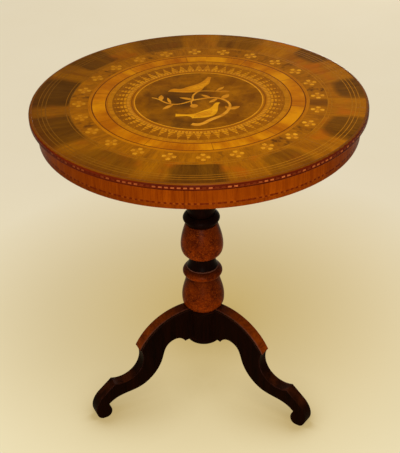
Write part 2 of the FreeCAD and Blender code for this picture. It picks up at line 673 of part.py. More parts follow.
# Knee caps: cross-grained facings on top of the knees, flush with the sides of the legs
cap_centre = V(knee_centre_reach, -half_leg, knee_centre_height)
cap_ring = Part.makeCylinder(knee_radius, leg_thickness, cap_centre, V(0, 1, 0)).cut(
    Part.makeCylinder(knee_radius - cap_thickness, leg_thickness, cap_centre, V(0, 1, 0)))
tip_angle = math.radians(knee_tip_angle)
reach = 2.0 * knee_radius
sector = [V(knee_centre_reach, 0, knee_centre_height),
          V(knee_centre_reach + reach * math.cos(tip_angle), 0, knee_centre_height + reach * math.sin(tip_angle)),
          V(knee_centre_reach + reach * math.cos(tip_angle), 0, knee_centre_height + reach),
          V(knee_centre_reach, 0, knee_centre_height + reach)]
cap_sector = Part.Face(Part.makePolygon(sector + sector[:1]))
cap_sector.translate(V(0, -leg_thickness, 0))
cap = cap_ring.common(cap_sector.extrude(V(0, 2.0 * leg_thickness, 0))).cut(lower_bulb).cut(under_bulb)

tongues = []
for name, degrees in leg_angles.items():
    save("leg_" + name, around(leg, degrees - 90.0))
    save("knee_cap_" + name, around(cap, degrees - 90.0))
    tongues.append(around(tongue, degrees - 90.0))
save("leg_drum", drum_blank.cut(Part.makeCompound(tongues + [cylinder(spindle_radius, drum_bottom, drum_top)])))
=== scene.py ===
import math

import bmesh
import bpy
from mathutils import Euler, Matrix, Vector


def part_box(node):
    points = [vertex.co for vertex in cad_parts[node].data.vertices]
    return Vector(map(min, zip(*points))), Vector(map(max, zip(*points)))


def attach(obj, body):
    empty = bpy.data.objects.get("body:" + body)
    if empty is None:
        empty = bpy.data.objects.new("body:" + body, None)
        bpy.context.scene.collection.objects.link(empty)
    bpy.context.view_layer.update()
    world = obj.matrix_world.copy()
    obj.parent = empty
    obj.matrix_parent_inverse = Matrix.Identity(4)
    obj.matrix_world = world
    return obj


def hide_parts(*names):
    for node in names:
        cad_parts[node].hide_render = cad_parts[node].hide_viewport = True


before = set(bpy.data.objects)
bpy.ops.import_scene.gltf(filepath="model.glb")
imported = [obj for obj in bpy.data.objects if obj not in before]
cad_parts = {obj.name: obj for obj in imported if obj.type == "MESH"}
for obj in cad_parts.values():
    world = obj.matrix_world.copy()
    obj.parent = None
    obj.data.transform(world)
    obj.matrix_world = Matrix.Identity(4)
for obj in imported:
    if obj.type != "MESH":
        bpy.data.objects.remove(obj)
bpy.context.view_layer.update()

# Legs, drum and boss: three scroll legs sawn from thick boards, dovetailed up into a turned drum that a boss
# closes from below. The wood is stained black and polished, handling has rubbed its edges brown, and they also carry
# a painted highlight.


def linear(red, green, blue):
    """A colour as it is read off a swatch, 0 to 255, in Blender's linear values."""
    levels = [level / 255 for level in (red, green, blue)]
    return tuple(v / 12.92 if v <= 10 / 255 else ((v + 0.055) / 1.055) ** 2.4 for v in levels) + (1.0,)


def fill(tree, node, inputs):
    """Sets a node's sockets, by name or number, to values or joins them to other nodes' outputs."""
    for name, value in (inputs or {}).items():
        if isinstance(value, bpy.types.NodeSocket):
            tree.links.new(value, node.inputs[name])
        else:
            node.inputs[name].default_value = value


def add(tree, kind, inputs=None, **settings):
    """A shader node with its settings and inputs."""
    node = tree.nodes.new("ShaderNode" + kind)
    for name, value in settings.items():
        setattr(node, name, value)
    fill(tree, node, inputs)
    return node


def maths(tree, operation, first, second=0.0, third=0.0):
    return add(tree, "Math", {0: first, 1: second, 2: third}, operation=operation).outputs[0]


def blend(tree, share, first, second):
    """The first colour where share is 0 and the second where it is 1."""
    return add(tree, "Mix", {0: share, 6: first, 7: second}, data_type="RGBA").outputs[2]


def spread(tree, value, low, high, to_low=0.0, to_high=1.0):
    """A value stretched from low..high to new ends, and held there."""
    return add(tree, "MapRange", {0: value, 1: low, 2: high, 3: to_low, 4: to_high}).outputs[0]


def noise(tree, place, scale, detail, **more):
    """Cloudy noise, with about so many clouds to the metre as scale says."""
    return add(tree, "TexNoise", {"Vector": place, "Scale": scale, "Detail": detail, **more}).outputs[0]


def object_place(tree):
    return add(tree, "TexCoord").outputs["Object"]


def start_group(name, inputs, outputs):
    """An empty node group, with the sockets of its inputs and of its outputs."""
    tree = bpy.data.node_groups.new(name, "ShaderNodeTree")
    for label, kind in inputs.items():
        tree.interface.new_socket(label, in_out="INPUT", socket_type="NodeSocket" + kind)
    for label, kind in outputs.items():
        tree.interface.new_socket(label, in_out="OUTPUT", socket_type="NodeSocket" + kind)
    return tree, tree.nodes.new("NodeGroupInput").outputs, tree.nodes.new("NodeGroupOutput").inputs


def use_group(tree, group, inputs=None):
    node = tree.nodes.new("ShaderNodeGroup")
    node.node_tree = group
    fill(tree, node, inputs)
    return node.outputs


# Grain: the vector's X runs along the wood, in metres; Streak is streaks per metre across it
wood_grain, given, made = start_group(
    "wood_grain",
    {"Vector": "Vector", "Streak": "Float", "Stretch": "Float", "Light": "Color", "Dark": "Color", "Pore": "Color"},
    {"Color": "Color", "Height": "Float"})
axis = add(wood_grain, "SeparateXYZ", {0: given["Vector"]}).outputs
lengthwise = maths(wood_grain, "DIVIDE", maths(wood_grain, "MULTIPLY", axis[0], given["Streak"]), given["Stretch"])
across = maths(wood_grain, "MULTIPLY", axis[1], given["Streak"])
depth = maths(wood_grain, "MULTIPLY", axis[2], given["Streak"])
laid = add(wood_grain, "CombineXYZ", {0: lengthwise, 1: across, 2: depth}).outputs[0]
broad = noise(wood_grain, laid, 0.22, 3.0)
streaks = noise(wood_grain, laid, 0.9, 5.0, Distortion=0.5)
fibres = noise(wood_grain, laid, 4.5, 2.0)
share = maths(wood_grain, "MULTIPLY_ADD", streaks, 0.8, maths(wood_grain, "MULTIPLY", fibres, 0.5))
share = spread(wood_grain, maths(wood_grain, "MULTIPLY_ADD", broad, 0.9, share), 0.82, 1.38)
short = add(wood_grain, "VectorMath", {0: laid, 1: (3.0, 7.0, 7.0)}, operation="MULTIPLY").outputs[0]
pores = spread(wood_grain, noise(wood_grain, short, 1.0, 1.0), 0.60, 0.72)
colour = blend(wood_grain, share, given["Dark"], given["Light"])
colour = blend(wood_grain, maths(wood_grain, "MULTIPLY", pores, 0.55), colour, given["Pore"])
wood_grain.links.new(colour, made["Color"])
wood_grain.links.new(maths(wood_grain, "SUBTRACT", maths(wood_grain, "MULTIPLY", fibres, 0.5), pores), made["Height"])

# Old polish: hazy and handled places, with a fine unevenness where the brush and the cloth went over it
old_polish, given, made = start_group("old_polish", {"Gloss": "Float", "Haze": "Float"},
                                      {"Roughness": "Float", "Height": "Float"})
place = object_place(old_polish)
smears = noise(old_polish, place, 11.0, 4.0)
grit = noise(old_polish, place, 260.0, 2.0)
haze = maths(old_polish, "MULTIPLY_ADD", maths(old_polish, "SUBTRACT", smears, 0.5), 1.6,
             maths(old_polish, "MULTIPLY", maths(old_polish, "SUBTRACT", grit, 0.5), 0.6))
old_polish.links.new(maths(old_polish, "MULTIPLY_ADD", haze, given["Haze"], given["Gloss"]), made["Roughness"])
old_polish.links.new(maths(old_polish, "ADD", grit, smears), made["Height"])

# Worn edge: a mask along every sharp edge, broken up as by handling, and a normal that rounds the edge over
worn_edge, given, made = start_group("worn_edge", {"Width": "Float", "Breaks": "Float"},
                                     {"Mask": "Float", "Normal": "Vector"})
rounded = add(worn_edge, "Bevel", {"Radius": given["Width"]}, samples=6).outputs[0]
flat = add(worn_edge, "NewGeometry").outputs["Normal"]
turned_away = add(worn_edge, "VectorMath", {0: rounded, 1: flat}, operation="DOT_PRODUCT").outputs["Value"]
edge = spread(worn_edge, turned_away, 0.995, 0.85)
patches = noise(worn_edge, object_place(worn_edge), given["Breaks"], 3.0)
worn_edge.links.new(maths(worn_edge, "MULTIPLY", edge, spread(worn_edge, patches, 0.38, 0.62)), made["Mask"])
worn_edge.links.new(rounded, made["Normal"])


def start_material(name):
    material = bpy.data.materials.new(name)
    material.use_nodes = True
    return material, material.node_tree, material.node_tree.nodes["Principled BSDF"]


def object_axes(tree, order):
    """Object coordinates with the grain's own direction first, such as zxy for wood that stands upright."""
    parts = add(tree, "SeparateXYZ", {0: object_place(tree)}).outputs
    return add(tree, "CombineXYZ", {n: parts["xyz".index(letter)] for n, letter in enumerate(order)}).outputs[0]


def lay_grain(tree, vector, streak, stretch, light, dark, pore):
    """Grain along a vector, from the swatches of its light wood, its dark wood and its pores."""
    return use_group(tree, wood_grain, {
        "Vector": vector, "Streak": streak, "Stretch": stretch,
        "Light": linear(*light), "Dark": linear(*dark), "Pore": linear(*pore)})


def wood_finish(tree, shader, colour, height, gloss, haze, shine, rub, rub_width, rub_breaks, bump=0.0002):
    """Joins a wood's colour and height to the shader, with its polish and its edges rubbed to the swatch rub."""
    grain_relief, polish_relief, relief_strength = 0.6, 0.5, 0.35
    polish = use_group(tree, old_polish, {"Gloss": gloss, "Haze": haze})
    edge = use_group(tree, worn_edge, {"Width": rub_width, "Breaks": rub_breaks})
    tree.links.new(blend(tree, edge["Mask"], colour, linear(*rub)), shader.inputs["Base Color"])
    tree.links.new(polish["Roughness"], shader.inputs["Roughness"])
    relief = maths(tree, "MULTIPLY", polish["Height"], polish_relief)
    relief = maths(tree, "MULTIPLY_ADD", height, grain_relief, relief)
    surface = add(tree, "Bump", {
        "Height": relief, "Strength": relief_strength, "Distance": bump, "Normal": edge["Normal"]})
    tree.links.new(surface.outputs[0], shader.inputs["Normal"])
    shader.inputs["Specular IOR Level"].default_value = shine


def dress(material, *names):
    for name in names:
        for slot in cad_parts[name].material_slots:
            slot.material = material


black_polish, tree, shader = start_material("black_polish")
upright = object_axes(tree, "zxy")
grain = lay_grain(tree, upright, 260.0, 9.0, light=(28, 8, 2), dark=(12, 4, 1), pore=(7, 2, 1))
# Upward faces are browner: scuffed polish, and painted light from above.
upward = add(tree, "SeparateXYZ", {0: add(tree, "NewGeometry").outputs["True Normal"]}).outputs[2]
scuffs = spread(tree, noise(tree, upright, 34.0, 5.0), 0.42, 0.62, 0.1, 0.7)
scuffed_and_lit = maths(tree, "MULTIPLY", spread(tree, upward, 0.5, 0.95), scuffs)
worn_and_lit = blend(tree, scuffed_and_lit, grain["Color"], linear(74, 32, 13))
# The rub swatch along the edges is rubbed wood and also a painted highlight on the arrises.
wood_finish(tree, shader, worn_and_lit, grain["Height"], gloss=0.42, haze=0.22, shine=0.008,
            rub=(60, 31, 28), rub_width=0.003, rub_breaks=16.0)
dress(black_polish, "leg_right", "leg_left", "leg_back", "leg_drum", "bottom_boss")

# Knee caps: thin cross-grained facings of red-brown wood, bent and glued over the knees flush with the legs.
# Black polish has been carried over their front edges, up to a thin painted highlight, and they have painted shade
# near the column.
cap_half, cap_stain, leg_spacing = 0.013, 0.0022, math.tau / 3

# Round place: how far a point lies round the table from the front, in radians to the right, and its reach. Rays
# and Rings are its place in metres with the outward way or the way round first, for grain that runs so.
mean_reach = 0.3
round_place, given, made = start_group(
    "round_place", {}, {"Turn": "Float", "Reach": "Float", "Rays": "Vector", "Rings": "Vector"})
axis = add(round_place, "SeparateXYZ", {0: object_place(round_place)}).outputs
turn = maths(round_place, "ARCTAN2", axis[0], maths(round_place, "MULTIPLY", axis[1], -1.0))
reach = maths(round_place, "MULTIPLY_ADD", axis[0], axis[0], maths(round_place, "MULTIPLY", axis[1], axis[1]))
reach = maths(round_place, "SQRT", reach)
arc = maths(round_place, "MULTIPLY", turn, mean_reach)
round_place.links.new(turn, made["Turn"])
round_place.links.new(reach, made["Reach"])
round_place.links.new(add(round_place, "CombineXYZ", {0: reach, 1: arc, 2: axis[2]}).outputs[0], made["Rays"])
round_place.links.new(add(round_place, "CombineXYZ", {0: arc, 1: reach, 2: axis[2]}).outputs[0], made["Rings"])

cap_wood, tree, shader = start_material("cap_wood")
place = use_group(tree, round_place)
grain = lay_grain(tree, place["Rings"], 330.0, 6.0, light=(158, 68, 9), dark=(100, 36, 4), pore=(58, 16, 2))
from_leg = maths(tree, "SUBTRACT", maths(tree, "FLOORED_MODULO", place["Turn"], leg_spacing), leg_spacing / 2)
aside = maths(tree, "ABSOLUTE", maths(tree, "MULTIPLY", place["Reach"], maths(tree, "SINE", from_leg)))
in_front = maths(tree, "LESS_THAN", maths(tree, "ABSOLUTE", place["Turn"]), leg_spacing / 2)
from_line = maths(tree, "SUBTRACT", aside, cap_half - cap_stain)
stained = maths(tree, "MULTIPLY", in_front, spread(tree, from_line, 0.0004, 0.0016))
# Painted highlight: a thin pale line along the front arris, beside the black margin.
painted_arris_highlight = spread(tree, maths(tree, "ABSOLUTE", from_line), 0.0018, 0.0008, 0.0, 0.9)
# Painted shade: the cap darker near the column.
painted_hub_shade = spread(tree, place["Reach"], 0.09, 0.04, 0.0, 0.85)
darkened = blend(tree, maths(tree, "MAXIMUM", stained, painted_hub_shade), grain["Color"], linear(18, 5, 2))
with_arris_highlight = blend(tree, maths(tree, "MULTIPLY", in_front, painted_arris_highlight), darkened, linear(124, 68, 50))
wood_finish(tree, shader, with_arris_highlight, grain["Height"], gloss=0.34, haze=0.2, shine=0.02,
            rub=(120, 58, 20), rub_width=0.0012, rub_breaks=30.0)
dress(cap_wood, "knee_cap_right", "knee_cap_left", "knee_cap_back")

# Column bulbs and ring: turned pieces faced with one speckled burr, with a thin painted highlight at the ring's ends.
# Burr has no straight grain: small eyes crowd together, orange in a red-brown ground, with painted shade high up.


def stir(tree, place, scale, detail, amount):
    """A place pushed about by cloudy noise, by up to amount in metres."""
    clouds = add(tree, "TexNoise", {"Vector": place, "Scale": scale, "Detail": detail}).outputs["Color"]
    push = add(tree, "VectorMath", {0: clouds, 1: (amount, amount, amount)}, operation="MULTIPLY").outputs[0]
    return add(tree, "VectorMath", {0: place, 1: push}, operation="ADD").outputs[0]


def burr_eyes(tree, place, count):
    """How far a point lies from the nearest eye, with count eyes to the metre."""
    return add(tree, "TexVoronoi", {"Vector": place, "Scale": count}, feature="SMOOTH_F1").outputs["Distance"]


# Burr: Eyes is how many eyes crowd into a metre, and the second input is the share of painted shade laid over them
burr, given, made = start_group("burr", {"Eyes": "Float", "Top_shade": "Float"}, {"Color": "Color", "Height": "Float"})
place = object_place(burr)
stirred = stir(burr, place, 150.0, 3.0, 0.005)
clouds = noise(burr, place, 50.0, 5.0, Roughness=0.7)
specks = noise(burr, stirred, 420.0, 2.0)
ground = blend(burr, spread(burr, clouds, 0.36, 0.64), linear(86, 24, 2), linear(150, 56, 5))
ground = blend(burr, spread(burr, specks, 0.54, 0.68, 0.0, 0.65), ground, linear(184, 84, 12))
figure = spread(burr, burr_eyes(burr, stirred, given["Eyes"]), 0.1, 0.36, 0.75, 0.0)
ground = blend(burr, figure, ground, linear(56, 13, 2))
burr.links.new(blend(burr, given["Top_shade"], ground, linear(34, 8, 1)), made["Color"])
burr.links.new(figure, made["Height"])


def object_height(tree):
    return add(tree, "SeparateXYZ", {0: object_place(tree)}).outputs[2]


def burr_turning(name, low, high, top_shade, end_highlight):
    """Burr on a turned piece from low to high, with painted shade towards its top and a painted highlight at its ends
    or not.
    """
    material, tree, shader = start_material(name)
    level = object_height(tree)
    top_shade_share = spread(tree, level, low + (high - low) * 0.25, high, 0.0, top_shade)
    wood = use_group(tree, burr, {"Eyes": 330.0, "Top_shade": top_shade_share})
    from_end = maths(tree, "MINIMUM", maths(tree, "SUBTRACT", high, level), maths(tree, "SUBTRACT", level, low))
    highlighted_ends = spread(tree, from_end, 0.0016, 0.0008, 0.0, end_highlight)
    with_end_highlight = blend(tree, highlighted_ends, wood["Color"], linear(134, 84, 66))
    wood_finish(tree, shader, with_end_highlight, wood["Height"], gloss=0.32, haze=0.2, shine=0.02,
                rub=(150, 82, 52), rub_width=0.0007, rub_breaks=50.0)
    return material


# Each piece has painted shade towards its top, and the ring has a painted highlight at its ends.
for name, top_shade, end_highlight in (("upper_bulb", 0.48, 0.0), ("lower_bulb", 0.6, 0.0), ("mid_ring", 0.95, 0.6)):
    low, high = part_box(name)
    dress(burr_turning(name + "_burr", low.z, high.z, top_shade, end_highlight), name)

# Black turnings: the cove between the bulbs, the collar over them, and the shaft and capital behind the apron.
# All are stained and polished like the legs, with the lathe's fine rings still in the surface.
ring_rate, ring_relief = 5200.0, 0.25  # radians of a ring to each metre of height, and its share of the relief
black_turning, tree, shader = start_material("black_turning")
grain = lay_grain(tree, object_axes(tree, "zxy"), 280.0, 8.0, light=(26, 8, 4), dark=(12, 4, 3), pore=(7, 3, 2))
lathe_rings = maths(tree, "SINE", maths(tree, "MULTIPLY", object_height(tree), ring_rate))
relief = maths(tree, "MULTIPLY_ADD", lathe_rings, ring_relief, grain["Height"])
wood_finish(tree, shader, grain["Color"], relief, gloss=0.3, haze=0.2, shine=0.01,
            rub=(70, 30, 12), rub_width=0.0012, rub_breaks=40.0)
dress(black_turning, "upper_collar", "cove_neck", "upper_baluster", "capital")

# Spindle, wedge, hinge block and bearers: the plain hardwood that holds the column together and carries the top.
# The spindle's end is wedged in the block, and the bearers, screwed under the top, turn on two pins in its sides.


def plain_wood(name, order, streak, stretch, light, dark, pore):
    material, tree, shader = start_material(name)
    grain = lay_grain(tree, object_axes(tree, order), streak, stretch, light, dark, pore)
    wood_finish(tree, shader, grain["Color"], grain["Height"], gloss=0.55, haze=0.2, shine=0.3,
                rub=(168, 120, 74), rub_width=0.0015, rub_breaks=30.0, bump=0.0004)
    return material


plain_hardwood = plain_wood("plain_hardwood", "xyz", 150.0, 12.0, (150, 100, 56), (104, 62, 30), (66, 38, 18))
dress(plain_hardwood, "hinge_block", "spindle", "spindle_wedge")
bearer_wood = plain_wood("bearer_wood", "yxz", 160.0, 14.0, (146, 96, 52), (98, 58, 28), (60, 34, 16))
dress(bearer_wood, "bearer_left", "bearer_right")

# Catch, pins and screws: a drawn brass bolt in a cast plate under the top, its keeper let into the block, iron
# pivot pins and iron screws with slotted heads. Brass has dulled brown, and iron has a thin film of rust.


def metal(name, light, dark, rub, gloss):
    material, tree, shader = start_material(name)
    film = noise(tree, object_place(tree), 190.0, 5.0, Roughness=0.6)
    edge = use_group(tree, worn_edge, {"Width": 0.0006, "Breaks": 90.0})
    colour = blend(tree, spread(tree, film, 0.38, 0.62), linear(*light), linear(*dark))
    tree.links.new(blend(tree, edge["Mask"], colour, linear(*rub)), shader.inputs["Base Color"])
    tree.links.new(maths(tree, "MULTIPLY_ADD", film, 0.3, gloss), shader.inputs["Roughness"])
    surface = add(tree, "Bump", {"Height": film, "Strength": 0.3, "Distance": 0.0002, "Normal": edge["Normal"]})
    tree.links.new(surface.outputs[0], shader.inputs["Normal"])
    shader.inputs["Metallic"].default_value = 1.0
    return material


dull_brass = metal("dull_brass", light=(170, 128, 62), dark=(112, 80, 36), rub=(206, 168, 96), gloss=0.22)
old_iron = metal("old_iron", light=(92, 84, 78), dark=(74, 52, 40), rub=(140, 132, 124), gloss=0.38)
dress(dull_brass, "catch_plate", "catch_bolt", "bolt_knob", "keeper_plate")
dress(old_iron, "pivot_pins")


def slotted_head(mesh, place, radius, foot_radius, height, slot_turn):
    """A round screw head that faces down at place, tapering to its foot, with a slot across it."""
    slot_half, slot_depth, steps = radius * 0.16, height * 0.4, 14
    turned = Matrix.Translation(place) @ Matrix.Rotation(slot_turn, 4, "Z")
    start = math.asin(slot_half / radius)
    sides = (0.0, math.pi)

    def half_ring(side, reach, level):
        """Points from one end of the slot to the other, round one side of the head."""
        angles = [side + start + (math.pi - 2 * start) * n / steps for n in range(steps + 1)]
        return [mesh.verts.new(turned @ Vector((reach * math.cos(a), reach * math.sin(a), level))) for a in angles]

    halves = []
    for side in sides:
        top, low = half_ring(side, radius, 0), half_ring(side, radius, slot_depth)
        mesh.faces.new(top[::-1])
        for n in range(steps):
            mesh.faces.new((top[n], top[n + 1], low[n + 1], low[n]))
        mesh.faces.new((top[-1], top[0], low[0], low[-1]))
        halves.append(low)
    first, second = halves
    mesh.faces.new((first[0], second[-1], second[0], first[-1]))
    round_edge = first + second
    foot = [corner for side in sides for corner in half_ring(side, foot_radius, height)]
    for n in range(len(round_edge)):
        m = (n + 1) % len(round_edge)
        mesh.faces.new((round_edge[n], round_edge[m], foot[m], foot[n]))
    mesh.faces.new(foot)


def slotted_screws(name, solids, rows, radius, foot_radius, height):
    """One object with two lines of slotted heads in place of plain ones, each turned as its driver left it."""
    low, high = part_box(solids)
    front, back = low.y + radius, high.y - radius
    places = [Vector((x, front + (back - front) * row / (rows - 1), low.z))
              for x in (low.x + radius, high.x - radius) for row in range(rows)]
    mesh = bmesh.new()
    for number, place in enumerate(places):
        slotted_head(mesh, place, radius, foot_radius, height, slot_turn=0.5 + 1.9 * number)
    bmesh.ops.recalc_face_normals(mesh, faces=mesh.faces)
    data = bpy.data.meshes.new(name)
    mesh.to_mesh(data)
    screws = bpy.data.objects.new(name, data)
    bpy.context.scene.collection.objects.link(screws)
    data.materials.append(old_iron)
    return screws


catch_heads = slotted_screws("catch_screw_heads", "catch_screws", 2, radius=0.0029, foot_radius=0.0016, height=0.002)
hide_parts("catch_screws")
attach(catch_heads, "top")

bearer_heads = slotted_screws(
    "bearer_screw_heads", "bearer_screws", 3, radius=0.0042, foot_radius=0.0041, height=0.003)
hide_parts("bearer_screws")
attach(bearer_heads, "top")

# Core boards, apron wall and glue blocks: plain softwood, edge glued, seen only from below and never polished.
# Dust and age have browned it, and the saw and plane have left their marks.
carcase_wood, tree, shader = start_material("carcase_wood")
grain = lay_grain(tree, object_axes(tree, "xyz"), 90.0, 22.0,
                  light=(186, 142, 88), dark=(140, 96, 52), pore=(104, 68, 36))
dust = spread(tree, noise(tree, object_place(tree), 7.0, 5.0, Roughness=0.6), 0.42, 0.7, 0.0, 0.55)
dusty = blend(tree, dust, grain["Color"], linear(112, 80, 48))
wood_finish(tree, shader, dusty, grain["Height"], gloss=0.75, haze=0.15, shine=0.2,
            rub=(196, 156, 104), rub_width=0.001, rub_breaks=40.0, bump=0.0006)
dress(carcase_wood, "board_front", "board_middle", "board_back")

wall_wood, tree, shader = start_material("wall_wood")
grain = lay_grain(tree, use_group(tree, round_place)["Rings"], 110.0, 16.0,
                  light=(176, 130, 78), dark=(132, 90, 48), pore=(96, 62, 32))
wood_finish(tree, shader, grain["Color"], grain["Height"], gloss=0.75, haze=0.15, shine=0.2,
            rub=(190, 150, 98), rub_width=0.001, rub_breaks=40.0, bump=0.0006)
dress(wall_wood, "apron_core", "glue_blocks")

# Apron veneer: red-brown veneer glued upright round the wall, so its grain runs from edge to edge in thin dark
# streaks. It is laid in lengths that differ a little in tone, and is redder in the strip under the chequered line.
apron_lengths = 14
under_apron_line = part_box("apron_chequer")[0].z

# Painted side shade: a mask that is strongest on the left, where the woods' colours are painted darker as shade
shade_side = math.radians(95.0)
painted_side_shade, given, made = start_group("painted_side_shade", {}, {"Mask": "Float"})
from_shade = maths(painted_side_shade, "ADD", use_group(painted_side_shade, round_place)["Turn"], shade_side)
painted_side_shade.links.new(spread(painted_side_shade, maths(painted_side_shade, "COSINE", from_shade), -0.4, 1.0), made["Mask"])


def paint_side_shade(tree, colour, share, tone):
    """A colour taken towards a darker swatch as painted shade on the left side, by up to share."""
    return blend(tree, maths(tree, "MULTIPLY", use_group(tree, painted_side_shade)["Mask"], share), colour, linear(*tone))


def chance(tree, number):
    """A value of its own for each number."""
    return add(tree, "TexWhiteNoise", {"W": number}, noise_dimensions="1D").outputs[0]


def from_middle(tree, length):
    """How far a point lies from the middle of its piece, 0 to 0.5, where length counts the pieces."""
    return maths(tree, "ABSOLUTE", maths(tree, "SUBTRACT", maths(tree, "FRACT", length), 0.5))


apron_veneer, tree, shader = start_material("apron_veneer")
place = use_group(tree, round_place)
axis = add(tree, "SeparateXYZ", {0: place["Rays"]}).outputs
upright = add(tree, "CombineXYZ", {0: axis[2], 1: axis[1], 2: axis[0]}).outputs[0]
grain = lay_grain(tree, upright, 430.0, 22.0, light=(186, 84, 4), dark=(144, 56, 2), pore=(100, 32, 2))
length = maths(tree, "MULTIPLY", place["Turn"], apron_lengths / math.tau)
odd = maths(tree, "MULTIPLY", chance(tree, maths(tree, "FLOOR", length)), 0.25)
toned = blend(tree, odd, grain["Color"], linear(104, 36, 6))
under_line = spread(tree, axis[2], under_apron_line + 0.001, under_apron_line - 0.001, 0.0, 0.4)
# Painted shade: the veneer darker on the left.
toned = paint_side_shade(tree, blend(tree, under_line, toned, linear(104, 38, 4)), 0.32, (66, 16, 3))
joint = spread(tree, from_middle(tree, length), 0.4945, 0.4975, 0.0, 0.35)
wood_finish(tree, shader, blend(tree, joint, toned, linear(52, 14, 4)), grain["Height"], gloss=0.3, haze=0.18,
            shine=0.01, rub=(160, 82, 24), rub_width=0.0008, rub_breaks=50.0)
dress(apron_veneer, "apron_veneer")

# Chequered lines: strips of light and dark squares glued up in a stick and sliced off, let into the rim and
# into the apron near its lower edge.

# Chequers: Count pairs round the table, Share of each pair light, every square a little different and some lost
chequers, given, made = start_group(
    "chequers", {"Count": "Float", "Share": "Float", "Lost": "Float", "Light": "Color", "Dark": "Color"},
    {"Color": "Color", "Mask": "Float"})
per_radian = maths(chequers, "DIVIDE", given["Count"], math.tau)
step = maths(chequers, "MULTIPLY", use_group(chequers, round_place)["Turn"], per_radian)
light_square = maths(chequers, "LESS_THAN", maths(chequers, "FRACT", step), given["Share"])
square = maths(chequers, "ADD", maths(chequers, "FLOOR", step), maths(chequers, "MULTIPLY", light_square, 0.37))
kept = spread(chequers, chance(chequers, square), given["Lost"], 0.6, 0.15, 1.0)
kept = maths(chequers, "MULTIPLY", light_square, kept)
chequers.links.new(blend(chequers, kept, given["Dark"], given["Light"]), made["Color"])
chequers.links.new(light_square, made["Mask"])


def chequered(name, count, share, lost, light, dark, side_shade=0.0):
    """A line of squares, whose light ones are painted darker towards the dark ones as shade on the left."""
    material, tree, shader = start_material(name)
    squares = use_group(tree, chequers, {
        "Count": count, "Share": share, "Lost": lost, "Light": linear(*light), "Dark": linear(*dark)})
    toned = paint_side_shade(tree, squares["Color"], side_shade, dark)
    wood_finish(tree, shader, toned, squares["Mask"], gloss=0.3, haze=0.18, shine=0.01,
                rub=(60, 22, 6), rub_width=0.0005, rub_breaks=80.0, bump=0.0001)
    return material


# Painted shade: the light squares darker on the left, strongly round the rim and a little on the apron.
rim_squares = chequered("rim_squares", 190.0, 0.6, 0.4, light=(182, 94, 44), dark=(92, 22, 6), side_shade=0.75)
dress(rim_squares, "rim_chequer")
apron_squares = chequered("apron_squares", 188.0, 0.5, 0.2, light=(162, 72, 9), dark=(112, 34, 6), side_shade=0.2)
dress(apron_squares, "apron_chequer")

# Rim lipping: a bent strip of the apron's wood round the edge of the top, its upper edge rounded over and worn.
# Its upper face is the brown of the leaves, and so is its side on the left, following the painted side shade; the
# rest of the side is dark red.
rim_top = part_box("rim_lipping")[1].z
rim_wood, tree, shader = start_material("rim_wood")
along = use_group(tree, round_place)["Rings"]
grain = lay_grain(tree, along, 360.0, 30.0, light=(106, 30, 6), dark=(66, 14, 3), pore=(40, 8, 2))
upper_face_grain = lay_grain(tree, along, 360.0, 30.0, light=(128, 70, 5), dark=(88, 46, 3), pore=(62, 30, 2))
upper_face = spread(tree, object_height(tree), rim_top - 0.0018, rim_top - 0.0008)
# The side takes the upper face's brown where the painted side shade is strongest.
painted_shade_aside = spread(tree, use_group(tree, painted_side_shade)["Mask"], 0.88, 0.98, 0.0, 0.8)
upper_face_and_shaded_side = maths(tree, "MAXIMUM", upper_face, painted_shade_aside)
rim_colour = blend(tree, upper_face_and_shaded_side, grain["Color"], upper_face_grain["Color"])
wood_finish(tree, shader, rim_colour, grain["Height"], gloss=0.3, haze=0.18, shine=0.02,
            rub=(146, 70, 14), rub_width=0.0014, rub_breaks=9.0)
dress(rim_wood, "rim_lipping")

# Outer band: eleven leaves of one flitch, each dark heartwood in the middle with paler sapwood at its joints.
# The border strip was cut from the same leaves, and three fine lines of pale wood run round them.
leaf_count = 11
leaf_phase = math.radians(20.3)
darker_edge_side = math.radians(30.0)
# Each leaf's heartwood: half its width as a share of the leaf, the reach of its inner end, its depth and its rounding
hearts = [(0.26, 0.254, 0.55, 0.030), (0.27, 0.257, 0.85, 0.040), (0.26, 0.266, 0.85, 0.040),
          (0.22, 0.280, 0.80, 0.040), (0.275, 0.252, 0.60, 0.012), (0.27, 0.249, 0.65, 0.012),
          (0.25, 0.256, 0.80, 0.012), (0.39, 0.247, 1.00, 0.006), (0.36, 0.249, 0.85, 0.006),
          (0.33, 0.254, 0.55, 0.020), (0.29, 0.254, 0.90, 0.008)]


def veneer_finish(tree, shader, colour, height, glue=(58, 28, 6), glue_width=0.0004):
    """A flush veneer: polished with its neighbours, and outlined by a broken hairline of dark glue."""
    wood_finish(tree, shader, colour, height, gloss=0.38, haze=0.2, shine=0.01,
                rub=glue, rub_width=glue_width, rub_breaks=120.0, bump=0.0001)


def pieces_round(tree, place, count, phase):
    """Counts equal pieces round the table from a phase: how far along a point lies, and its piece's number."""
    length = maths(tree, "MULTIPLY", maths(tree, "SUBTRACT", place["Turn"], phase), count / math.tau)
    return length, maths(tree, "FLOORED_MODULO", maths(tree, "FLOOR", length), count)


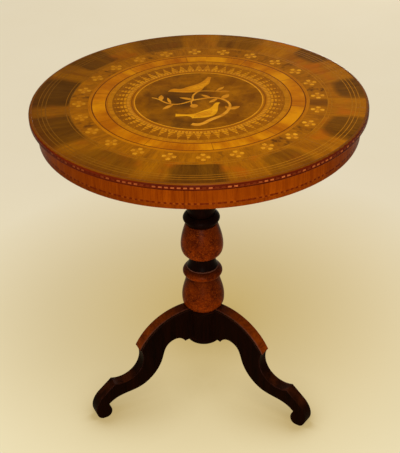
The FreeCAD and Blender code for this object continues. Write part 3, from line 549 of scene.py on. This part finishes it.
outer_leaf, tree, shader = start_material("outer_leaf")
place = use_group(tree, round_place)
length, number = pieces_round(tree, place, leaf_count, leaf_phase)
chosen = add(tree, "ValToRGB", {0: maths(tree, "DIVIDE", maths(tree, "ADD", number, 0.5), leaf_count)})
ramp = chosen.color_ramp.elements
chosen.color_ramp.interpolation = "CONSTANT"
for leaf_number, heart in enumerate(hearts):
    stop = ramp[0] if leaf_number == 0 else ramp.new(leaf_number / leaf_count)
    stop.color = heart
ramp.remove(ramp[-1])
half_width, inner_end, depth = add(tree, "SeparateColor", {0: chosen.outputs[0]}).outputs
rounding = chosen.outputs[1]
waver = maths(tree, "SUBTRACT", noise(tree, place["Rays"], 34.0, 4.0), 0.5)
aside = maths(tree, "MULTIPLY_ADD", waver, 0.09, from_middle(tree, length))
aside = maths(tree, "MAXIMUM", maths(tree, "DIVIDE", aside, half_width), 0.0)
inward = add(tree, "MapRange", {
    0: place["Reach"], 1: inner_end, 2: maths(tree, "ADD", inner_end, rounding), 3: 1.0, 4: 0.0}, clamp=False)
inward = maths(tree, "MAXIMUM", inward.outputs[0], 0.0)
corner = maths(tree, "ADD", maths(tree, "POWER", aside, 3.0), maths(tree, "POWER", inward, 3.0))
heart = maths(tree, "MULTIPLY", spread(tree, corner, 1.4, 0.55), depth)
sap_grain = lay_grain(tree, place["Rays"], 150.0, 7.0, light=(166, 101, 4), dark=(130, 72, 3), pore=(96, 50, 3))
heart_grain = lay_grain(tree, place["Rays"], 150.0, 7.0, light=(104, 62, 4), dark=(72, 40, 2), pore=(50, 27, 2))
stains = noise(tree, place["Rays"], 17.0, 3.0)
sap = blend(tree, spread(tree, stains, 0.54, 0.7, 0.0, 0.6), sap_grain["Color"], linear(168, 82, 4))
sap = blend(tree, spread(tree, stains, 0.44, 0.3, 0.0, 0.6), sap, linear(126, 74, 3))
# Painted shade: the leaves darker on the left.
shaded = paint_side_shade(tree, blend(tree, heart, sap, heart_grain["Color"]), 0.36, (66, 36, 3))
# The outer edge is darker towards the front left.
to_darker_edge = maths(tree, "COSINE", maths(tree, "ADD", place["Turn"], darker_edge_side))
at_edge = spread(tree, place["Reach"], 0.294, 0.318)
darker_edge = maths(tree, "MULTIPLY", at_edge, spread(tree, to_darker_edge, 0.1, 1.0, 0.0, 0.42))
veneer_finish(tree, shader, blend(tree, darker_edge, shaded, linear(84, 32, 3)), heart_grain["Height"])
dress(outer_leaf, "outer_leaves", "border_strip")


def ring_veneer(name, run, streak, stretch, light, dark, pore, side_shade=None, **outline):
    """A ring of veneer with its grain along Rays or Rings, and an optional share and swatch of painted shade on the
    left.
    """
    material, tree, shader = start_material(name)
    grain = lay_grain(tree, use_group(tree, round_place)[run], streak, stretch, light, dark, pore)
    toned = paint_side_shade(tree, grain["Color"], *side_shade) if side_shade else grain["Color"]
    veneer_finish(tree, shader, toned, grain["Height"], **outline)
    return material


# Painted shade: the fine lines darker on the left.
fine_line = ring_veneer("fine_line", "Rings", 300.0, 20.0, light=(178, 114, 20), dark=(138, 84, 8), pore=(96, 52, 5),
                        side_shade=(0.72, (84, 48, 6)), glue=(112, 64, 6))
dress(fine_line, "fine_lines")

# Border lines: two thin lines of pale wood, bent on edge and glued in on either side of the border strip.
# They were planed flush with the veneers, and are painted darker with them as shade on the left.
border_line = ring_veneer("border_line", "Rings", 320.0, 18.0, light=(186, 120, 18), dark=(146, 88, 8),
                          pore=(104, 56, 5), side_shade=(0.6, (96, 54, 6)), glue=(104, 58, 6))
dress(border_line, "border_lines")

# Flower band: four-petalled flowers of golden wood, sawn out and let into a brown ground.
# The ground is laid in short lengths with the grain running outwards, and old stains darken it between flowers.
flower_count, flower_reach = 24, 0.2295
flower_phase = math.radians(6.6)
patched_length = 5.0
flower_glue = (124, 68, 6)
flower_ground, tree, shader = start_material("flower_ground")
place = use_group(tree, round_place)
grain = lay_grain(tree, place["Rays"], 170.0, 5.0, light=(168, 102, 4), dark=(128, 72, 3), pore=(92, 46, 3))
length, number = pieces_round(tree, place, flower_count, flower_phase)
odd = chance(tree, number)
between = from_middle(tree, length)
blot = spread(tree, noise(tree, place["Rays"], 60.0, 3.0), 0.5, 0.62)
blot = maths(tree, "MULTIPLY", blot, spread(tree, between, 0.32, 0.16))
blot = maths(tree, "MULTIPLY", blot, spread(tree, odd, 0.35, 0.9, 0.15, 0.9))
patch = spread(tree, between, 0.34, 0.16, 0.0, 0.6)
patch = maths(tree, "MULTIPLY", maths(tree, "COMPARE", number, patched_length, 0.2), patch)
toned = blend(tree, maths(tree, "MULTIPLY", odd, 0.25), grain["Color"], linear(112, 62, 5))
beside = maths(tree, "MULTIPLY", maths(tree, "SUBTRACT", 0.5, between), flower_reach * math.tau / flower_count)
beyond = maths(tree, "SUBTRACT", place["Reach"], flower_reach)
from_flower = maths(tree, "MULTIPLY_ADD", beside, beside, maths(tree, "MULTIPLY", beyond, beyond))
from_flower = maths(tree, "SQRT", from_flower)
toned = blend(tree, spread(tree, from_flower, 0.0125, 0.006, 0.0, 0.55), toned, linear(176, 108, 10))
toned = blend(tree, maths(tree, "MAXIMUM", blot, patch), toned, linear(84, 44, 6))
veneer_finish(tree, shader, toned, grain["Height"])
dress(flower_ground, "flower_ground")

flower_petal, tree, shader = start_material("flower_petal")
place = object_place(tree)
tone = spread(tree, noise(tree, place, 95.0, 1.0), 0.48, 0.66, 0.0, 0.5)
grain = lay_grain(tree, place, 420.0, 6.0, light=(222, 156, 32), dark=(190, 120, 12), pore=(146, 82, 6))
# Painted shade: the petals darker on the left.
toned = paint_side_shade(tree, blend(tree, tone, grain["Color"], linear(172, 100, 10)), 0.4, (138, 80, 8))
veneer_finish(tree, shader, toned, grain["Height"], glue=flower_glue)
dress(flower_petal, "flower_petals")

flower_centre, tree, shader = start_material("flower_centre")
grain = lay_grain(tree, object_axes(tree, "yxz"), 500.0, 4.0,
                  light=(196, 126, 12), dark=(158, 92, 8), pore=(110, 58, 5))
veneer_finish(tree, shader, grain["Color"], grain["Height"], glue=flower_glue)
dress(flower_centre, "flower_centres")

# Amber band: ten cross-grained pieces of glowing amber wood, their ends mitred on rays from the centre, between
# thin amber fillets and dark stringing that are bent round and glued in.
# The tone drifts from gold to orange along the band and is painted more golden to the right as light,
# and a dark hairline marks each joint.
segment_count, figure_count = 10, 7
segment_phase, figure_phase, painted_light_side = math.radians(12.0), math.radians(20.0), math.radians(80.0)
amber_wood, tree, shader = start_material("amber_wood")
place = use_group(tree, round_place)
length, number = pieces_round(tree, place, segment_count, segment_phase)
grain = lay_grain(tree, place["Rays"], 180.0, 6.0, light=(194, 118, 4), dark=(160, 88, 2), pore=(122, 60, 2))
odd = maths(tree, "MULTIPLY", chance(tree, number), 0.2)
toned = blend(tree, odd, grain["Color"], linear(164, 82, 3))
drift = noise(tree, place["Rays"], 16.0, 3.0)
to_painted_light_side = maths(tree, "COSINE", maths(tree, "SUBTRACT", place["Turn"], painted_light_side))
figure = maths(tree, "MULTIPLY", maths(tree, "SUBTRACT", place["Turn"], figure_phase), figure_count)
gold = maths(tree, "MULTIPLY_ADD", maths(tree, "COSINE", figure), 0.1, drift)
# Painted light: the band more golden towards the right.
gold = maths(tree, "MULTIPLY_ADD", to_painted_light_side, 0.07, gold)
toned = blend(tree, spread(tree, gold, 0.5, 0.7, 0.0, 0.75), toned, linear(208, 136, 6))
toned = blend(tree, spread(tree, gold, 0.47, 0.3, 0.0, 0.65), toned, linear(146, 74, 2))
joint = spread(tree, from_middle(tree, length), 0.493, 0.4975, 0.0, 0.7)
veneer_finish(tree, shader, blend(tree, joint, toned, linear(92, 44, 4)), grain["Height"])
dress(amber_wood, "amber_band")

amber_fillet, tree, shader = start_material("amber_fillet")
place = use_group(tree, round_place)
grain = lay_grain(tree, place["Rings"], 300.0, 18.0, light=(186, 114, 6), dark=(150, 84, 3), pore=(110, 54, 3))
round_roundel = spread(tree, place["Reach"], 0.1292, 0.1282, 0.0, 0.3)
toned = blend(tree, round_roundel, grain["Color"], linear(104, 54, 5))
veneer_finish(tree, shader, toned, grain["Height"])
dress(amber_fillet, "amber_fillets")

dark_stringing, tree, shader = start_material("dark_stringing")
place = use_group(tree, round_place)
grain = lay_grain(tree, place["Rings"], 400.0, 16.0, light=(114, 52, 5), dark=(78, 30, 3), pore=(54, 20, 3))
innermost = spread(tree, place["Reach"], 0.14, 0.13, 0.0, 0.5)
toned = blend(tree, innermost, grain["Color"], linear(150, 88, 8))
veneer_finish(tree, shader, toned, grain["Height"])
dress(dark_stringing, "dark_lines")

# Spike band: pale spikes that stand side by side on a ring of beads, let into a dark ground under a light ring.
# Each spike and bead is made up of tiny squares of wood, as mosaic borders are.
light_ring = ring_veneer("light_ring", "Rays", 260.0, 3.0, light=(188, 120, 12), dark=(148, 87, 5), pore=(108, 57, 4))
dress(light_ring, "light_ring")
# Painted shade: the spike ground darker on the left.
spike_ground = ring_veneer("spike_ground", "Rings", 300.0, 6.0, light=(158, 94, 5), dark=(124, 68, 4),
                           pore=(90, 46, 3), side_shade=(0.26, (80, 42, 4)))
dress(spike_ground, "spike_ground")

spike_foot, spike_row, squares_per_radian = 0.1391, 0.0068, 40.0
spike_mosaic, tree, shader = start_material("spike_mosaic")
place = use_group(tree, round_place)
row = maths(tree, "DIVIDE", maths(tree, "SUBTRACT", place["Reach"], spike_foot), spike_row)
step = maths(tree, "FLOOR", maths(tree, "MULTIPLY", place["Turn"], squares_per_radian))
square = add(tree, "CombineXYZ", {0: maths(tree, "FLOOR", row), 1: step}).outputs[0]
odd = add(tree, "TexWhiteNoise", {"Vector": square}, noise_dimensions="2D").outputs[0]
grain = lay_grain(tree, place["Rays"], 400.0, 4.0, light=(214, 146, 20), dark=(182, 112, 8), pore=(140, 78, 6))
toned = blend(tree, maths(tree, "MULTIPLY", odd, 0.45), grain["Color"], linear(158, 90, 8))
row_joint = spread(tree, maths(tree, "FRACT", row), 0.66, 0.74, 0.0, 0.85)
toned = blend(tree, row_joint, toned, linear(118, 62, 6))
veneer_finish(tree, shader, toned, grain["Height"], glue=(112, 62, 6))
dress(spike_mosaic, "spike_inlay")

bead_squares = chequered("bead_squares", 128.0, 0.72, -0.6, light=(196, 128, 22), dark=(146, 84, 9))
dress(bead_squares, "bead_ring")

# Roundel: a disc of burr with clouded figure, darkest round a knot left of its middle, that holds the picture.
# It is glued down in the centre of the top, and one pale line, bent on edge, borders it.
dark_knot = (-0.022, -0.006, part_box("roundel_ground")[1].z)
roundel_burr, tree, shader = start_material("roundel_burr")
place = object_place(tree)
stirred = stir(tree, place, 16.0, 4.0, 0.05)
clouds = noise(tree, stirred, 24.0, 6.0, Roughness=0.6)
ground = blend(tree, spread(tree, clouds, 0.36, 0.66), linear(112, 62, 2), linear(152, 92, 4))
figure = spread(tree, burr_eyes(tree, stirred, 130.0), 0.08, 0.34, 0.4, 0.0)
ground = blend(tree, figure, ground, linear(88, 43, 2))
from_knot = add(tree, "VectorMath", {0: place, 1: dark_knot}, operation="DISTANCE").outputs["Value"]
deep = maths(tree, "MULTIPLY_ADD", spread(tree, from_knot, 0.1, 0.015), 0.25, noise(tree, stirred, 9.0, 3.0))
ground = blend(tree, spread(tree, deep, 0.52, 0.74, 0.0, 0.85), ground, linear(56, 32, 9))
veneer_finish(tree, shader, ground, figure)
dress(roundel_burr, "roundel_ground")

roundel_line = ring_veneer(
    "roundel_line", "Rings", 340.0, 18.0, light=(220, 150, 30), dark=(182, 112, 12), pore=(128, 68, 6))
dress(roundel_line, "roundel_line")

# Picture: two birds on a flowering branch, a traditional subject, each sawn from pale golden wood.
# The wings are a deeper wood with feathers cut in, and hot sand has shaded some edges brown.
feather_slant = math.radians(-38.0)


def picture_wood(name, light, dark, feather_lines=False):
    material, tree, shader = start_material(name)
    place = object_place(tree)
    grain = lay_grain(tree, place, 260.0, 9.0, light, dark, pore=(140, 78, 12))
    scorch = spread(tree, noise(tree, place, 42.0, 2.0), 0.56, 0.74, 0.0, 0.4)
    colour = blend(tree, scorch, grain["Color"], linear(150, 84, 14))
    if feather_lines:
        slanted = add(tree, "VectorRotate", {"Vector": place, "Angle": feather_slant}, rotation_type="Z_AXIS")
        feathers = add(tree, "TexWave", {"Vector": slanted.outputs[0], "Scale": 62.0, "Distortion": 1.6,
                                         "Detail": 1.0}, bands_direction="Y").outputs["Fac"]
        colour = blend(tree, spread(tree, feathers, 0.16, 0.02, 0.0, 0.5), colour, linear(132, 70, 10))
    veneer_finish(tree, shader, colour, grain["Height"], glue=(84, 42, 6), glue_width=0.0005)
    return material


dress(picture_wood("upper_bird_body", (204, 132, 20), (172, 100, 12)), "upper_bird")
dress(picture_wood("lower_bird_body", (228, 162, 24), (200, 130, 12)), "lower_bird")
dress(picture_wood("bird_wing", (220, 150, 22), (194, 122, 12), feather_lines=True), "bird_wings")
dress(picture_wood("branch_wood", (216, 148, 40), (188, 118, 22)), "branch_inlay")
dress(picture_wood("leaf_wood", (208, 140, 34), (178, 108, 16)), "leaf_inlay")

# Studio: a pale floor that runs out to the horizon with a painted shadow under the table, a large soft lamp above
# the front right, a weaker one in front, a weak low one behind, and a dim even sky.
# The camera stands where the picture was taken.
floor_radius, table_shade = 14.0, (0.0, 0.27, 0.0)
floor_mesh = bmesh.new()
bmesh.ops.create_circle(floor_mesh, cap_ends=True, segments=96, radius=floor_radius)
floor_data = bpy.data.meshes.new("studio_floor")
floor_mesh.to_mesh(floor_data)
studio_floor = bpy.data.objects.new("studio_floor", floor_data)
bpy.context.scene.collection.objects.link(studio_floor)


def looked_at(tree):
    """1 for rays from the camera and for those that mirrors and glass pass on, and 0 for the rest."""
    rays = add(tree, "LightPath").outputs
    passed_on = maths(tree, "MAXIMUM", rays["Is Glossy Ray"], rays["Is Transmission Ray"])
    return maths(tree, "MAXIMUM", rays["Is Camera Ray"], passed_on)


floor_paper = bpy.data.materials.new("floor_paper")
floor_paper.use_nodes = True
tree = floor_paper.node_tree
tree.nodes.clear()
place = object_place(tree)
away = add(tree, "SeparateXYZ", {0: place}).outputs[1]
paper = blend(tree, spread(tree, away, -0.3, 0.9), linear(241, 228, 188), linear(234, 221, 192))
far_off = add(tree, "VectorMath", {0: place}, operation="LENGTH").outputs["Value"]
paper = blend(tree, spread(tree, far_off, 3.0, 7.0), paper, linear(245, 232, 200))
# Painted shadow: the paper is darker and yellower in a pool a little behind the table, where its top's shadow falls.
from_table = add(tree, "VectorMath", {0: place, 1: table_shade}, operation="DISTANCE").outputs["Value"]
paper = blend(tree, spread(tree, from_table, 0.7, 0.05, 0.0, 0.84), paper, linear(204, 173, 94))
mottle = spread(tree, noise(tree, place, 3.0, 4.0), 0.3, 0.7, 0.0, 0.1)
paper = blend(tree, mottle, paper, linear(220, 202, 156))
# Painted shade: the paper is darker where nearby parts close it in, under the legs and feet.
open_sky = add(tree, "AmbientOcclusion", {"Distance": 0.14}, samples=24).outputs["AO"]
paper = blend(tree, spread(tree, open_sky, 0.97, 0.7, 0.0, 0.6), paper, linear(170, 140, 70))
seen = looked_at(tree)
dimmed = blend(tree, spread(tree, seen, 0.0, 1.0, 0.55, 0.0), paper, linear(0, 0, 0))
lit = add(tree, "BsdfDiffuse", {"Color": dimmed}).outputs[0]
even = add(tree, "Emission", {"Color": paper, "Strength": 1.0}).outputs[0]
shown = add(tree, "MixShader", {0: maths(tree, "MULTIPLY", seen, 0.86), 1: lit, 2: even}).outputs[0]
add(tree, "OutputMaterial", {"Surface": shown})
floor_data.materials.append(floor_paper)

sky = bpy.data.worlds.new("studio_sky")
bpy.context.scene.world = sky
sky.use_nodes = True
tree = sky.node_tree
tree.nodes.clear()
dim = add(tree, "Background", {"Color": (1.0, 0.92, 0.76, 1.0), "Strength": 0.14}).outputs[0]
pale = add(tree, "Background", {"Color": linear(231, 219, 189), "Strength": 1.0}).outputs[0]
shown = add(tree, "MixShader", {0: looked_at(tree), 1: dim, 2: pale}).outputs[0]
add(tree, "OutputWorld", {"Surface": shown})


def soft_lamp(name, place, aim, size, power):
    data = bpy.data.lights.new(name, "AREA")
    data.shape = "DISK"
    data.size = size
    data.energy = power
    data.color = (1.0, 0.97, 0.9)
    lamp = bpy.data.objects.new(name, data)
    lamp.location = place
    lamp.rotation_euler = (Vector(aim) - Vector(place)).to_track_quat("-Z", "Y").to_euler()
    lamp.visible_camera = False
    bpy.context.scene.collection.objects.link(lamp)


soft_lamp("high_lamp", place=(0.35, -0.95, 2.9), aim=(0.0, 0.0, 0.6), size=1.0, power=58.0)
soft_lamp("front_lamp", place=(0.15, -3.2, 1.0), aim=(0.0, 0.0, 0.45), size=1.2, power=54.0)
soft_lamp("back_lamp", place=(0.5, 3.5, 0.5), aim=(0.0, 0.0, 0.4), size=0.9, power=32.0)

azimuth, elevation, roll = math.radians(5.28), math.radians(32.37), math.radians(-1.42)
aim, distance = Vector((-0.00324, -0.0003, 0.412)), 2.265
camera_data = bpy.data.cameras.new("photo_camera")
camera_data.sensor_width = 36.0
camera_data.lens = 87.42
photo_camera = bpy.data.objects.new("photo_camera", camera_data)
bpy.context.scene.collection.objects.link(photo_camera)
level = math.cos(elevation)
back = Vector((math.sin(azimuth) * level, -math.cos(azimuth) * level, math.sin(elevation)))
facing = Euler((math.pi / 2 - elevation, 0.0, azimuth)).to_matrix() @ Matrix.Rotation(roll, 3, "Z")
photo_camera.location = aim + back * distance
photo_camera.rotation_euler = facing.to_euler()
bpy.context.scene.camera = photo_camera
bpy.context.scene.view_settings.view_transform = "Standard"

bpy.context.view_layer.update()
